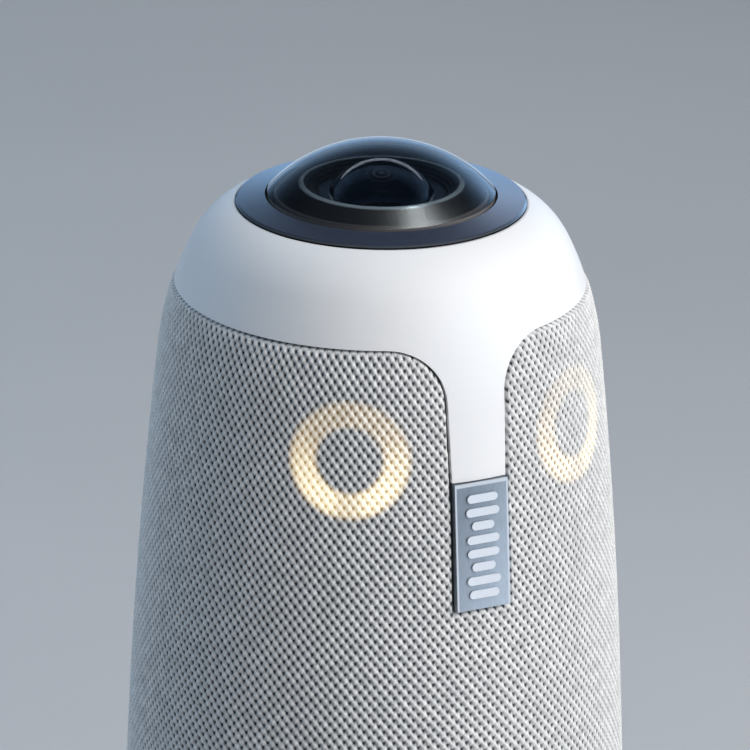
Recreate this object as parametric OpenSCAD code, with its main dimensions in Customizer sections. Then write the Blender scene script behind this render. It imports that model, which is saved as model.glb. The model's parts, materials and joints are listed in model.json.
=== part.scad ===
// 360 degree conference camera with three speakers, a microphone ring and two light rings.
// Millimetres. Origin at the centre of the foot's lower face, +Z up, front facing -Y.

/* [Body outline] */
// Height from the table to the top of the dome
overall_h = 273; // [271:0.5:276]
// Radius that the side line has where it meets the table
base_r = 55.5; // [55:0.1:56]
// Lean of the side line at the table, in degrees
base_lean = 2.03; // [1.95:0.01:2.1]
// Radius of the nearly straight lower side
side_rho = 11600; // [11000:100:12500]
// Radius of the upper side
upper_rho = 1158; // [1100:1:1220]
// Radius of the shoulder
shoulder_rho = 61.4; // [60:0.1:63]
// Radius of the roll that leads to the camera ring
roll_rho = 16.8; // [16.6:0.1:17]

/* [Cap and tag] */
// Seam between cap and fabric, below the top of the dome
seam_drop = 27; // [26:0.1:28]
// Lower end of the cap's front stem, below the top of the dome
stem_drop = 52.4; // [50:0.1:54]
// Half width of the stem at its lower end
stem_half = 5.5; // [5:0.1:6]
// Half width of the stem where its fillets start
stem_top_half = 5.85; // [5.5:0.05:6.2]
// Radius of the two fillets that lead from the stem to the cap
stem_fillet = 10; // [8:0.5:12]
// Wall of the cap
cap_t = 2.4; // [2:0.1:2.6]
// Height of the metal tag
tag_h = 24.9; // [22:0.1:26]
// Thickness of the metal tag
tag_t = 1.5; // [1.3:0.1:1.7]
// Raised bars on the tag
tag_bars = 8; // [5:1:9]

/* [Eyes] */
// Angle of each light ring from the front, in degrees
eye_angle = 32.7; // [31:0.1:35]
// Centre of the light rings, below the top of the dome
eye_drop = 47.5; // [46.5:0.1:49]
// Outer diameter of a light ring
eye_d = 22.6; // [21:0.1:23]
// Inner diameter of a light ring
eye_inner_d = 12.2; // [11:0.1:13]
// Light-emitting diodes behind each ring
eye_leds_n = 8; // [6:1:10]

/* [Camera head] */
// Radius of the dome at its base
dome_r = 21.8; // [21.6:0.1:22]
// Height of the dome above its base
dome_h = 9.2; // [9:0.1:9.4]
// Wall of the dome
dome_t = 1.3; // [1.2:0.1:1.4]
// Outer radius of the black ring
ring_r = 27.95; // [27.8:0.05:28.1]
// Radius of the fisheye element
fisheye_r = 10; // [9.8:0.1:10]
// Height of the fisheye element's bulge
fisheye_h = 6.2; // [5.8:0.1:6.3]
// Radius of the shroud's rim
shroud_rim_r = 15.2; // [15:0.1:16]

/* [Fabric and grille] */
// Thickness of the fabric
fabric_t = 1.2; // [1:0.1:1.3]
// Gap between the fabric's edge and the cap
fabric_gap = 0.4; // [0.3:0.1:0.6]
// Wall of the grille shell
grille_t = 1.8; // [1.6:0.1:1.9]

/* [Base and keys] */
// Height of the white base band's upper edge
band_top = 24; // [23.5:0.5:25]
// Wall of the base band
band_t = 2.6; // [2.4:0.1:2.8]
// Radius of a key
key_r = 4.5; // [4:0.1:4.6]
// Angle between neighbouring keys
key_turn = 17; // [15:0.5:18]
// Travel of a key
key_travel = 0.6; // [0.4:0.1:0.6]
// Radius of the tripod thread's wall
tripod_r = 3.2; // [3.1:0.05:3.3]

/* [Speakers] */
// Height of the speakers' centres
speaker_z = 79; // [77:0.5:81]
// Radius of a speaker's flange
speaker_r = 22; // [20:0.1:22]
// Distance from the body's axis to a speaker's front face
speaker_reach = 43; // [42:0.1:43]

/* [Hidden] */
$fn = 64;
smooth = 120;

// Outline: four arcs that follow each other without a corner.
side_top = overall_h - 114.6;
shoulder_z = overall_h - 39.7;
roll_z = overall_h - 19.1;
side_c = [base_r - side_rho * cos(base_lean), -side_rho * sin(base_lean)];
upper_c = next_centre(side_c, side_rho, side_top, upper_rho);
shoulder_c = next_centre(upper_c, upper_rho, shoulder_z, shoulder_rho);
roll_c = next_centre(shoulder_c, shoulder_rho, roll_z, roll_rho);
function lean(c, rho, z) = asin((z - c[1]) / rho);
function next_centre(c, rho, z, next_rho) =
    c + (rho - next_rho) * [cos(lean(c, rho, z)), sin(lean(c, rho, z))];
function arc_r(c, rho, z) = c[0] + sqrt(rho * rho - pow(z - c[1], 2));
function body_r(z) =
    z < side_top ? arc_r(side_c, side_rho, z) :
    z < shoulder_z ? arc_r(upper_c, upper_rho, z) :
    z < roll_z ? arc_r(shoulder_c, shoulder_rho, z) : arc_r(roll_c, roll_rho, z);
function steps(z0, z1, step) =
    let (n = max(1, ceil((z1 - z0) / step))) [for (i = [0:n]) z0 + (z1 - z0) * i / n];
function reversed(list) = [for (i = [len(list) - 1:-1:0]) list[i]];
function side_line(zs, depth) = [for (z = zs) [body_r(z) - depth, z]];

// Heights of the seam, stem, tag and eyes
seam_z = overall_h - seam_drop;
stem_z = overall_h - stem_drop;
tag_z = stem_z - tag_h / 2 - 0.1;
tag_proud = 0.35;
eye_z = overall_h - eye_drop;
cap_inset = 0.25;
cap_top = overall_h - 11.4;
stem_depth = 1.3;
skirt_outer = 3.5;
skirt_inner = 5;

// Camera head, from the housing's flange upwards
flange_z = overall_h - 12.2;
flange_r = 26.8;
flange_t = 1.6;
dome_base = overall_h - dome_h;
dome_rho = (dome_r * dome_r + dome_h * dome_h) / (2 * dome_h);
fisheye_base = dome_base;
fisheye_rho = (fisheye_r * fisheye_r + fisheye_h * fisheye_h) / (2 * fisheye_h);
fisheye_back = fisheye_base - 2.8;
seal_r = dome_r + 0.45;
ring_top = dome_base - 0.6;
barrel_r = 11.4;
barrel_bore_r = 8.6;
shroud_r = dome_r - dome_t - 0.4;
shroud_bore_r = 12.1;
camera_board_z = flange_z - 20.3;
camera_screw_r = 25;
screw_head_r = 1.6;
camera_screw_angles = [90, 210, 330];

// Grille and fabric
grille_depth = fabric_t + 0.2;
grille_inner = grille_depth + grille_t;

// Base
floor_z = 1.6;
plate_t = 3.4;
plate_top = floor_z + plate_t;
foot_in = 44;
foot_out = 50.5;
foot_sink = 1.4;
screw_reach = 40;
case_screw_r = 2.75;
screw_angles = [30, 150, 210, 330];
shelf_r = 44.5;
shelf_z = band_top - 4;
shelf_top = band_top + 1;
bay_half = 24;
bay_low = 5.4;
bay_high = shelf_z - 0.4;
bay_y = 46.2;
io_z = 6.2;
board_t = 1.6;
header_h = 5;
socket_x = 9;
socket_z = io_z + board_t + 1.6;
socket_w = 8.94;
socket_h = 3.2;
lock_x = 18.5;
lock_w = 7;
lock_h = 3;

// Keys: 0 volume down, 1 volume up, 2 mute, 3 pair
key_z = 12.8;
key_gap = 0.25;
key_proud = 0.3;
key_rim = 0.4;
collar_r = key_r + 0.9;
key_board_r = 43;
switch_r = key_board_r + 4.8;
key_end_r = switch_r + 0.05 + key_travel;
key_face_r = body_r(key_z) + key_proud;
collar_face_r = sqrt(pow(body_r(key_z) - band_t, 2) - pow(collar_r, 2)) - 0.15;
function key_angle(i) = (i - 1.5) * key_turn - 90;

// Speakers: rear, left and right
box_r = 40;
box_wall = 2.6;
box_floor = shelf_top + 6;
box_top = shelf_top + 100;
box_flange_r = 50.5;
lead_at = [31.3, 32.4];
lead_hole_r = 2.4;
chassis_screw_r = 46.5;
chassis_screw_angles = [30, 150, 270];
speaker_angles = [90, 210, 330];

// Upper chassis
lid_top = box_top + 3;
deck_z = lid_top + 2.5;
upper_deck_z = overall_h - 47;
mic_board_z = overall_h - 37;
mic_angles = [for (i = [0:7]) 22.5 + 45 * i];
board_y = 8;
board_low = deck_z + 6;
board_high = board_low + 70;

// A shell of revolution between two horizontal depths below the outline
module wall(z0, z1, outer_depth, inner_depth, step = 8) {
    zs = steps(z0, z1, step);
    rotate_extrude($fn = smooth)
        polygon(concat(side_line(zs, outer_depth), reversed(side_line(zs, inner_depth))));
}

// A solid of revolution below the outline
module core(z0, z1, depth, step = 2) {
    zs = steps(z0, z1, step);
    rotate_extrude($fn = smooth)
        polygon(concat(side_line(zs, depth), [[0, z1], [0, z0]]));
}

module ring(outer, inner, z0, z1) {
    rotate_extrude($fn = smooth) translate([inner, z0]) square([outer - inner, z1 - z0]);
}

// Children stand on a radial axis: their +Z points outwards at the given angle and height
module radial(angle, z) {
    rotate([0, 0, angle]) translate([0, 0, z]) rotate([0, 90, 0]) children();
}

// Children lie on an axis along +Y that passes through x and z
module along_y(x, y, z) {
    translate([x, y, z]) rotate([-90, 0, 0]) children();
}

// Children sit on the outline with +Z along the surface's outward normal; angle 0 is the front
module on_skin(angle, z) {
    tilt = z < shoulder_z ? lean(upper_c, upper_rho, z) : lean(shoulder_c, shoulder_rho, z);
    rotate([0, 0, angle]) translate([0, -body_r(z), z]) rotate([90 - tilt, 0, 0]) children();
}

module block(x, y, z) {
    translate([x[0], y[0], z[0]]) cube([x[1] - x[0], y[1] - y[0], z[1] - z[0]]);
}

module pan_screw(head_r, head_h, shank_r, shank_h) {
    cylinder(r = head_r, h = head_h);
    translate([0, 0, -shank_h]) cylinder(r = shank_r, h = shank_h + head_h / 2);
}

// ---------------------------------------------------------------- base

module rubber_foot() {
    color("dimgray")
        rotate_extrude($fn = smooth)
            polygon([
                [foot_in + 0.6, 0], [foot_out - 0.6, 0], [foot_out, 0.6],
                [foot_out, floor_z + foot_sink], [foot_in, floor_z + foot_sink], [foot_in, 0.6],
            ]);
}

module base_plate() {
    color("white")
        difference() {
            union() {
                translate([0, 0, floor_z])
                    cylinder(r = body_r(floor_z) - band_t - 0.2, h = plate_t, $fn = smooth);
                for (s = [-1, 1], y = [16, 38])
                    translate([s * 20, y, plate_top - 1]) cylinder(r = 2.5, h = io_z - plate_top + 1);
                rotate([0, 0, -90 - 1.7 * key_turn])
                    rotate_extrude(angle = 3.4 * key_turn, $fn = smooth)
                        translate([key_board_r - 2, plate_top - 1]) square([2, 14]);
            }
            ring(foot_out + 0.1, foot_in - 0.1, floor_z - 1, floor_z + foot_sink);
            translate([0, 0, floor_z - 1]) cylinder(r = 6, h = 20);
            for (a = screw_angles) rotate([0, 0, a]) translate([screw_reach, 0, 0]) {
                translate([0, 0, floor_z - 1]) cylinder(r = 1.7, h = 20);
                translate([0, 0, floor_z - 1]) cylinder(r = 3.1, h = 3);
            }
        }
}

module tripod_insert() {
    color("goldenrod")
        difference() {
            union() {
                translate([0, 0, floor_z]) cylinder(r = 5.9, h = 12);
                translate([0, 0, plate_top]) cylinder(r = 9, h = 1.6);
            }
            translate([0, 0, floor_z - 1]) cylinder(r = tripod_r, h = 11);
        }
}

module base_screws() {
    color("silver")
        for (a = screw_angles) rotate([0, 0, a]) translate([screw_reach, 0, floor_z + 2])
            mirror([0, 0, 1]) pan_screw(case_screw_r, 1.7, 1.4, 9);
}

module band_profile() {
    outer = steps(floor_z, band_top, 8);
    lip_r = body_r(band_top) - grille_inner - 0.1;
    polygon(concat(
        side_line(outer, 0),
        [[lip_r, band_top], [lip_r, shelf_top], [shelf_r, shelf_top], [shelf_r, shelf_z]],
        reversed(side_line(steps(floor_z, shelf_z, 8), band_t))));
}

module base_band() {
    boss_r = 3.8;
    color("whitesmoke")
        difference() {
            union() {
                rotate_extrude($fn = smooth) band_profile();
                for (a = screw_angles) rotate([0, 0, a]) {
                    translate([screw_reach, 0, plate_top])
                        cylinder(r = boss_r, h = shelf_z + 1 - plate_top);
                    block([screw_reach, shelf_r + 8], [-1.5, 1.5], [plate_top, shelf_z + 0.5]);
                }
            }
            for (i = [0:3]) radial(key_angle(i), key_z)
                translate([0, 0, key_board_r]) cylinder(r = key_r + key_gap, h = 20);
            block([-bay_half, bay_half], [bay_y - 1, 60], [bay_low, bay_high]);
            for (a = screw_angles) rotate([0, 0, a])
                translate([screw_reach, 0, plate_top - 1]) cylinder(r = 1.4, h = 12);
            for (a = chassis_screw_angles) rotate([0, 0, a])
                translate([chassis_screw_r, 0, shelf_top - 6]) cylinder(r = 1.2, h = 7);
            translate([lead_at[0], lead_at[1], shelf_z - 2]) cylinder(r = lead_hole_r, h = 10);
        }
}

// Recessed bay at the back, with the two socket openings and the lock slot
module port_bezel() {
    rim = 1.5;
    color("dimgray")
        difference() {
            intersection() {
                block([-bay_half + 0.1, bay_half - 0.1], [bay_y, 60], [bay_low + 0.1, bay_high - 0.1]);
                core(bay_low, bay_high, 0.3);
            }
            block([-bay_half + rim, bay_half - rim], [bay_y + rim, 61],
                [bay_low + rim, bay_high - rim]);
            for (s = [-1, 1]) socket_outline(s * socket_x, bay_y - 1, 4, 0.3);
            block([lock_x - lock_w / 2, lock_x + lock_w / 2], [bay_y - 1, bay_y + 4],
                [socket_z - lock_h / 2, socket_z + lock_h / 2]);
        }
}

module socket_outline(x, y, length, grow) {
    half = socket_w / 2 - socket_h / 2;
    for (s = [-1, 1]) along_y(x + s * half, y, socket_z) cylinder(r = socket_h / 2 + grow, h = length);
    block([x - half, x + half], [y, y + length],
        [socket_z - socket_h / 2 - grow, socket_z + socket_h / 2 + grow]);
}

module socket(x) {
    depth = 8;
    tongue_half = 3.3;
    tongue_t = 0.7;
    color("silver") difference() {
        socket_outline(x, bay_y - depth, depth, 0);
        socket_outline(x, bay_y - depth + 1, depth, -0.3);
    }
    color("black")
        block([x - tongue_half, x + tongue_half], [bay_y - depth, bay_y - 0.8],
            [socket_z - tongue_t / 2, socket_z + tongue_t / 2]);
}

module data_socket() socket(-socket_x);
module power_socket() socket(socket_x);

module io_board() {
    color("darkgreen") {
        block([-24, 24], [12, 44], [io_z, io_z + board_t]);
        block([-7, 7], [22, 30], [io_z + board_t, io_z + board_t + 1.2]);
        block([14, 22], [14, 20], [io_z + board_t, io_z + board_t + header_h]);
    }
}

// Runs from the io board, up beside the speaker box, to the main board
module power_lead() {
    r = 1.3;
    path = [
        [18, 17, io_z + board_t + header_h + r], [24, 22, 15], [lead_at[0], lead_at[1], 18],
        [lead_at[0], lead_at[1], deck_z + 4], [24, 24, deck_z + 9],
        [18, board_y + board_t + header_h + r, board_low + 6.5],
    ];
    color("black")
        for (i = [0:len(path) - 2]) hull() {
            translate(path[i]) sphere(r, $fn = 12);
            translate(path[i + 1]) sphere(r, $fn = 12);
        }
}

// ---------------------------------------------------------------- keys

// A round cap with a bevelled edge, a collar that keeps it in the band, and a stem
module key_body(i) {
    radial(key_angle(i), key_z)
        rotate_extrude() polygon([
            [0, key_end_r], [2, key_end_r], [2, collar_face_r - 0.8], [collar_r, collar_face_r - 0.8],
            [collar_r, collar_face_r], [key_r, collar_face_r], [key_r, key_face_r - key_rim],
            [key_r - key_rim, key_face_r], [0, key_face_r],
        ]);
}

// A symbol stands a little proud of its key's face, upright
module key_symbol(i) {
    radial(key_angle(i), key_z) translate([0, 0, key_face_r - 0.1]) rotate([0, 0, 90])
        linear_extrude(height = 0.3) children();
}

module volume_down_key() color("gainsboro") {
    key_body(0);
    key_symbol(0) square([4, 0.9], center = true);
}

module volume_up_key() color("gainsboro") {
    key_body(1);
    key_symbol(1) {
        square([4, 0.9], center = true);
        square([0.9, 4], center = true);
    }
}

module mute_key() color("gainsboro") {
    key_body(2);
    key_symbol(2) difference() {
        circle(r = 2.3);
        difference() {
            circle(r = 1.5);
            rotate(45) square([6, 0.8], center = true);
        }
    }
}

module pair_key() color("gainsboro") {
    key_body(3);
    key_symbol(3) {
        circle(r = 0.8);
        difference() {
            circle(r = 2.3);
            circle(r = 1.6);
        }
    }
}

// Flexible board on the base plate's curved wall
module key_board() {
    color("darkgreen")
        rotate([0, 0, -90 - 1.8 * key_turn])
            rotate_extrude(angle = 3.6 * key_turn, $fn = smooth)
                translate([key_board_r + 0.05, plate_top + 0.2]) square([0.95, 13]);
}

module key_switches() {
    color("silver")
        for (i = [0:3]) radial(key_angle(i), key_z) {
            translate([-3, -3, key_board_r + 1.02]) cube([6, 6, 3.2]);
            translate([0, 0, switch_r - 1]) cylinder(r = 1.7, h = 1);
        }
}

// ---------------------------------------------------------------- speakers

module speaker_box() {
    color("dimgray")
        difference() {
            union() {
                translate([0, 0, shelf_top]) cylinder(r = box_flange_r, h = 3, $fn = smooth);
                translate([0, 0, shelf_top]) cylinder(r = box_r, h = box_top - shelf_top, $fn = smooth);
                for (a = speaker_angles) radial(a, speaker_z)
                    translate([0, 0, 30]) cylinder(r = speaker_r + 2, h = speaker_reach - 31.5);
            }
            translate([0, 0, box_floor]) cylinder(r = box_r - box_wall, h = 200, $fn = smooth);
            for (a = speaker_angles) radial(a, speaker_z)
                translate([0, 0, 20]) cylinder(r = 19.2, h = 30);
            for (a = chassis_screw_angles) rotate([0, 0, a])
                translate([chassis_screw_r, 0, shelf_top - 1]) cylinder(r = 1.7, h = 10);
            translate([lead_at[0], lead_at[1], shelf_top - 1]) cylinder(r = lead_hole_r, h = 10);
        }
}

module speaker_box_lid() {
    color("gray")
        union() {
            translate([0, 0, box_top]) cylinder(r = box_r, h = lid_top - box_top, $fn = smooth);
            ring(box_r - box_wall - 0.1, box_r - box_wall - 2, box_top - 3, box_top + 1);
        }
}

module chassis_screws() {
    color("silver")
        for (a = chassis_screw_angles) rotate([0, 0, a])
            translate([chassis_screw_r, 0, shelf_top + 3]) pan_screw(case_screw_r, 1.8, 1.15, 8);
}

module speaker_baskets() {
    back = speaker_reach - 12.5;
    color("darkslategray")
        for (a = speaker_angles) radial(a, speaker_z) difference() {
            rotate_extrude() polygon([
                [7.4, back], [19, back], [19, speaker_reach - 1.5], [speaker_r, speaker_reach - 1.5],
                [speaker_r, speaker_reach], [17.6, speaker_reach], [17.6, back + 1.5], [7.4, back + 1.5],
            ]);
            for (w = [0:3]) rotate([0, 0, 45 + 90 * w]) translate([10, -4, back + 2.5]) cube([12, 8, 6]);
        }
}

module speaker_magnets() {
    front = speaker_reach - 12.5;
    color("silver")
        for (a = speaker_angles) radial(a, speaker_z) difference() {
            translate([0, 0, front - 9]) cylinder(r = 15, h = 9);
            translate([0, 0, front - 7]) ring(7.2, 5.8, 0, 8);
        }
}

// Half rolls between the cones and their baskets
module speaker_surrounds() {
    inner = 14.8;
    outer = 17.55;
    mid = (inner + outer) / 2;
    roll = (outer - inner) / 2;
    color("black")
        for (a = speaker_angles) radial(a, speaker_z) translate([0, 0, speaker_reach - 2])
            rotate_extrude() translate([mid, 0]) difference() {
                circle(r = roll, $fn = 32);
                circle(r = roll - 0.5, $fn = 32);
                translate([-roll - 1, -2 * roll - 0.01]) square([2 * roll + 2, 2 * roll]);
            }
}

// Cone, voice coil former and dust cap in one moving piece
module cone(angle) {
    front = speaker_reach - 2;
    color("black")
        radial(angle, speaker_z) {
            rotate_extrude() polygon([
                [6.2, front - 13], [6.7, front - 13], [6.7, front - 7], [14.6, front],
                [14.6, front + 0.6], [13.9, front + 0.6], [6.2, front - 6.2],
            ]);
            translate([0, 0, front - 6.9]) cylinder(r1 = 6.3, r2 = 6.9, h = 0.6);
            intersection() {
                translate([0, 0, front - 12.6]) sphere(r = 9.4);
                translate([0, 0, front - 6.5]) cylinder(r = 7.1, h = 5);
            }
        }
}

module rear_cone() cone(90);
module left_cone() cone(210);
module right_cone() cone(330);

// ---------------------------------------------------------------- upper chassis and boards

module chassis_frame() {
    side_x = 31;
    side_t = 2.5;
    deck_r = 38;
    upper_r = 34.8;
    mic_post_at = 27;
    color("gray")
        difference() {
            union() {
                translate([0, 0, lid_top]) cylinder(r = deck_r, h = deck_z - lid_top, $fn = smooth);
                translate([0, 0, upper_deck_z - 2.5]) cylinder(r = upper_r, h = 2.5, $fn = smooth);
                for (s = [-1, 1])
                    block([s * (side_x + side_t / 2) - side_t / 2, s * (side_x + side_t / 2) + side_t / 2],
                        [-14, 14], [deck_z - 1, upper_deck_z - 1]);
                for (z = [board_low - 3, board_high - 1])
                    block([-side_x - 0.5, side_x + 0.5], [board_y + board_t, board_y + board_t + 4],
                        [z, z + 4]);
                for (a = [45:90:315]) rotate([0, 0, a]) translate([mic_post_at, 0, upper_deck_z - 1])
                    cylinder(r = 2.2, h = mic_board_z - upper_deck_z + 1);
            }
            translate([0, 0, upper_deck_z - 5]) cylinder(r = 12, h = 10);
            for (a = board_holes()) along_y(a[0], board_y, a[1]) cylinder(r = 0.9, h = 5);
        }
}

function board_holes() = [for (x = [-27, 27], z = [board_low + 1, board_high - 1]) [x, z]];

module main_board() {
    color("darkgreen")
        difference() {
            block([-30.8, 30.8], [board_y, board_y + board_t], [board_low - 1, board_high + 1]);
            for (a = board_holes()) along_y(a[0], board_y - 1, a[1]) cylinder(r = 1.2, h = 5);
        }
}

module board_screws() {
    color("silver")
        for (a = board_holes()) translate([a[0], board_y, a[1]]) rotate([90, 0, 0])
            pan_screw(2, 1.2, 0.85, 5);
}

module processor_shield() {
    color("silver") block([-11, 11], [board_y - 3, board_y], [board_low + 24, board_low + 46]);
}

module heat_sink() {
    fins = 9;
    pitch = 40 / (fins - 1);
    color("slategray") {
        block([-20.7, 20.7], [board_y - 6, board_y - 3], [board_low + 15, board_low + 55]);
        for (i = [0:fins - 1])
            block([-20 + i * pitch - 0.7, -20 + i * pitch + 0.7], [board_y - 16, board_y - 5.9],
                [board_low + 15, board_low + 55]);
    }
}

// Capacitors, chips and connectors on the main board
module board_parts() {
    chip_half = 3.5;
    color("black") {
        for (x = [-20, -9]) along_y(x, board_y - 10, board_low + 6) cylinder(r = 4, h = 10);
        for (x = [4, 14, 24])
            block([x - chip_half, x + chip_half], [board_y - 1.4, board_y],
                [board_low + 3, board_low + 3 + 2 * chip_half]);
    }
    color("ivory") {
        block([-5, 5], [board_y - 3, board_y], [board_high - 5, board_high - 1]);
        block([12, 24], [board_y + board_t, board_y + board_t + header_h], [board_low + 4, board_low + 9]);
    }
}

module wifi_antennas() {
    color("goldenrod")
        for (s = [-1, 1])
            block([s * 33.9 - 0.4, s * 33.9 + 0.4], [-6, 6], [upper_deck_z - 60, upper_deck_z - 25]);
}

module mic_board() {
    color("darkgreen") ring(33.5, 17, mic_board_z, mic_board_z + board_t);
}

module microphones() {
    color("silver")
        for (a = mic_angles) rotate([0, 0, a])
            block([27, 30], [-2, 2], [mic_board_z + board_t, mic_board_z + board_t + 1.2]);
}

// Rubber tunnels that lead sound from the grille to the microphones
module mic_gaskets() {
    z = mic_board_z + board_t;
    color("black")
        for (a = mic_angles) difference() {
            intersection() {
                rotate([0, 0, a]) block([30.2, 42], [-2.5, 2.5], [z, z + 3.6]);
                core(z - 1, z + 5, grille_inner + 0.35);
            }
            radial(a, z + 2) cylinder(r = 0.8, h = 60);
        }
}

// ---------------------------------------------------------------- eyes

module eye_disc(side, r, low, high) {
    on_skin(side * eye_angle, eye_z) translate([0, 0, low]) cylinder(r = r, h = high - low);
}

module eye_diffuser(side) {
    color("lemonchiffon")
        intersection() {
            difference() {
                eye_disc(side, eye_d / 2, -9, 3);
                eye_disc(side, eye_inner_d / 2, -10, 4);
            }
            wall(eye_z - 14, eye_z + 14, grille_depth - 0.05, grille_depth + 2.6);
        }
}

module eye_diffuser_left() eye_diffuser(-1);
module eye_diffuser_right() eye_diffuser(1);

module eye_centre_masks() {
    color("black")
        for (s = [-1, 1]) intersection() {
            eye_disc(s, eye_inner_d / 2 - 0.1, -9, 3);
            wall(eye_z - 14, eye_z + 14, grille_depth - 0.05, grille_depth + 2.6);
        }
}

module eye_light_boards() {
    color("darkgreen") for (s = [-1, 1]) eye_disc(s, eye_d / 2, -8.2, -6.6);
}

module eye_leds() {
    reach = (eye_d + eye_inner_d) / 4;
    color("lightyellow")
        for (s = [-1, 1]) on_skin(s * eye_angle, eye_z)
            for (i = [0:eye_leds_n - 1]) rotate([0, 0, i * 360 / eye_leds_n])
                translate([reach - 1, -1, -6.6]) cube([2, 2, 0.9]);
}

// ---------------------------------------------------------------- shell

// Perforated shell under the fabric: sound slots, eye windows and microphone holes
module grille_shell() {
    slots = 7;
    slot_turn = 7.5;
    color("gray")
        difference() {
            wall(band_top, seam_z - 0.4, grille_depth, grille_inner);
            for (a = speaker_angles, i = [0:slots - 1], row = [-1:1])
                rotate([0, 0, a + (i - (slots - 1) / 2) * slot_turn])
                    block([40, 60], [-1.6, 1.6], [speaker_z + row * 15 - 6, speaker_z + row * 15 + 6]);
            for (s = [-1, 1]) eye_disc(s, eye_d / 2 + 0.15, -9, 3);
            for (a = mic_angles) radial(a, mic_board_z + board_t + 2) cylinder(r = 0.8, h = 60);
        }
}

// Outline of the stem and its fillets seen from the front, grown by a gap all round
module stem_outline(gap) {
    top = seam_z - gap;
    r = stem_fillet - gap;
    w = stem_top_half + gap;
    low = stem_half + gap;
    polygon([
        [-low, stem_z - gap], [low, stem_z - gap], [w, seam_z - stem_fillet], [w, top],
        [-w, top], [-w, seam_z - stem_fillet],
    ]);
    for (s = [0, 1]) mirror([s, 0]) difference() {
        translate([w - 0.5, top - r]) square([r + 0.5, r]);
        translate([w + r, top - r]) circle(r = r, $fn = smooth);
    }
}

// Fabric cut-out below the stem, for the tag
module tag_outline(gap) {
    half = stem_half + gap;
    translate([-half, stem_z - tag_h - 0.2 - gap]) square([2 * half, tag_h + 2 * gap + 1]);
}

module front_prism() {
    translate([0, -30, 0]) rotate([90, 0, 0]) linear_extrude(height = 40) children();
}

module fabric_sleeve() {
    color("lightgray")
        difference() {
            wall(band_top + 0.2, seam_z - fabric_gap, 0, fabric_t);
            front_prism() {
                stem_outline(fabric_gap);
                tag_outline(fabric_gap);
                translate([-stem_top_half, seam_z - 2]) square([2 * stem_top_half, 4]);
            }
        }
}

module cap_ring() {
    outer = steps(seam_z, cap_top, 0.4);
    inner = steps(seam_z + 2, cap_top, 1);
    skirt = steps(seam_z - 4.4, seam_z, 2.2);
    rotate_extrude($fn = smooth)
        polygon(concat(
            side_line(outer, cap_inset),
            reversed(side_line(inner, cap_inset + cap_t)),
            side_line([seam_z + 2, seam_z - 4.4], skirt_inner),
            side_line(skirt, skirt_outer)));
}

module top_cap() {
    boss_low = flange_z - flange_t - 9;
    color("whitesmoke")
        difference() {
            union() {
                cap_ring();
                intersection() {
                    wall(stem_z, seam_z, cap_inset, stem_depth, 2);
                    front_prism() stem_outline(0);
                }
                intersection() {
                    for (a = camera_screw_angles) rotate([0, 0, a]) {
                        translate([camera_screw_r, 0, boss_low]) cylinder(r = 2.6, h = 9);
                        block([camera_screw_r, 40], [-1.2, 1.2], [boss_low, boss_low + 9]);
                    }
                    core(boss_low - 1, cap_top, 1.2, 1);
                }
            }
            for (a = camera_screw_angles) rotate([0, 0, a])
                translate([camera_screw_r, 0, boss_low + 2]) cylinder(r = 0.8, h = 9);
            for (a = camera_screw_angles) rotate([0, 0, a])
                translate([camera_screw_r, 0, flange_z]) cylinder(r = screw_head_r + 0.15, h = 2);
        }
}

// Plate with a column of raised bars whose lengths rise and fall like a sound level
module tag_plate() {
    front = tag_proud;
    bar_pitch = (tag_h - 3.4) / tag_bars;
    bar_short = 4.4;
    bar_swing = 2.6;
    color("silver")
        on_skin(0, tag_z) {
            translate([-stem_half, -tag_h / 2, front - tag_t]) cube([2 * stem_half, tag_h, tag_t]);
            for (i = [0:tag_bars - 1])
                translate([0, (i - (tag_bars - 1) / 2) * bar_pitch, front - 0.1])
                    tag_bar(bar_short + bar_swing * abs(sin(40 + 65 * i)), bar_pitch * 0.6);
        }
}

module tag_bar(length, width) {
    half = (length - width) / 2;
    linear_extrude(height = 0.5) {
        square([2 * half, width], center = true);
        for (s = [-1, 1]) translate([s * half, 0]) circle(d = width);
    }
}

// ---------------------------------------------------------------- camera head

module camera_ribbon() {
    half = 4;
    t = 0.3;
    y = 3;
    low = board_high - 1;
    color("orange")
        translate([-half, 0, 0]) rotate([90, 0, 90]) linear_extrude(height = 2 * half)
            polygon([
                [y, camera_board_z], [y + t, camera_board_z], [y + t, low + 12],
                [board_y - 1.4 + t, low], [board_y - 1.4, low], [y, low + 12 - t],
            ]);
}

module camera_board() {
    color("darkgreen") translate([0, 0, camera_board_z]) cylinder(r = 15, h = board_t);
}

module image_sensor() {
    top = camera_board_z + board_t;
    color("black") block([-5, 5], [-5, 5], [top, top + 1.2]);
    color("steelblue") block([-3.6, 3.6], [-3.6, 3.6], [top + 1.2, top + 1.5]);
}

module camera_housing() {
    low = camera_board_z + board_t;
    color("dimgray")
        difference() {
            union() {
                translate([0, 0, low]) cylinder(r = 13.4, h = flange_z - low, $fn = smooth);
                translate([0, 0, flange_z - flange_t]) cylinder(r = flange_r, h = flange_t, $fn = smooth);
            }
            translate([0, 0, low - 1]) cylinder(r = barrel_r + 0.05, h = 40, $fn = smooth);
            for (a = camera_screw_angles) rotate([0, 0, a])
                translate([camera_screw_r, 0, flange_z - 5]) cylinder(r = 1.1, h = 10);
        }
}

module camera_screws() {
    color("silver")
        for (a = camera_screw_angles) rotate([0, 0, a])
            translate([camera_screw_r, 0, flange_z]) pan_screw(screw_head_r, 0.9, 0.75, 7);
}

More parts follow.
